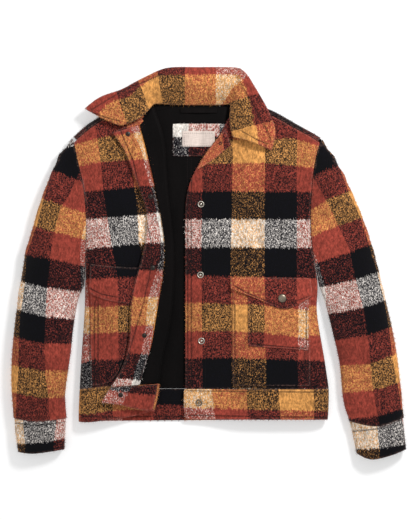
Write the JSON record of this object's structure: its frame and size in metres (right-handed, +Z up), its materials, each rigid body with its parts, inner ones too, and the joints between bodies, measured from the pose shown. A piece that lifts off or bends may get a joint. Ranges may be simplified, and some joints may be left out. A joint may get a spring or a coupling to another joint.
{
  "type": "wool jacket",
  "caption": "cropped checked wool jacket laid flat, right front turned back over its facing, collar spread, flap pockets, waistband and cuffs",
  "frame": {"origin": "under the middle of the whole jacket, on the surface that it lies on", "axes": "+X toward the wearer's left sleeve, +Y from the hem toward the collar, +Z up out of the surface, toward a viewer who looks down at the fronts"},
  "size_m": [0.7498, 0.7432, 0.0397],
  "materials": {
    "wool": "brushed, napped wool in a large check of rust, gold, black and cream",
    "lining": "plain black lining, slightly smooth",
    "label": "pale woven label, bare",
    "snap": "aged nickel",
    "dark_snap": "gunmetal"
  },
  "bodies": {
    "root": {"back": "wool", "yoke_right": "wool", "yoke_left": "wool", "right_front": "wool", "left_front": "wool", "front_facing": "wool", "front_lining": "lining", "lapel": "wool", "sleeve_right": "wool", "sleeve_left": "wool", "cuff_right": "wool", "cuff_left": "wool", "collar": "wool", "waistband_back": "wool", "waistband_right": "wool", "waistband_left": "wool", "waistband_facing": "wool", "hand_pocket_right": "wool", "hand_pocket_left": "wool", "patch_pocket": "wool", "flap_right": "wool", "flap_left": "wool", "back_lining": "lining", "neck_patch": "wool", "label": "label", "hanger_loop": "lining", "snap_1": "snap", "snap_2": "snap", "snap_3": "snap", "snap_4": "snap", "flap_snap": "snap", "lapel_snap": "dark_snap", "stud_1": "dark_snap", "stud_2": "dark_snap", "stud_3": "dark_snap", "stud_4": "dark_snap", "stud_5": "dark_snap"}
  },
  "joints": []
}
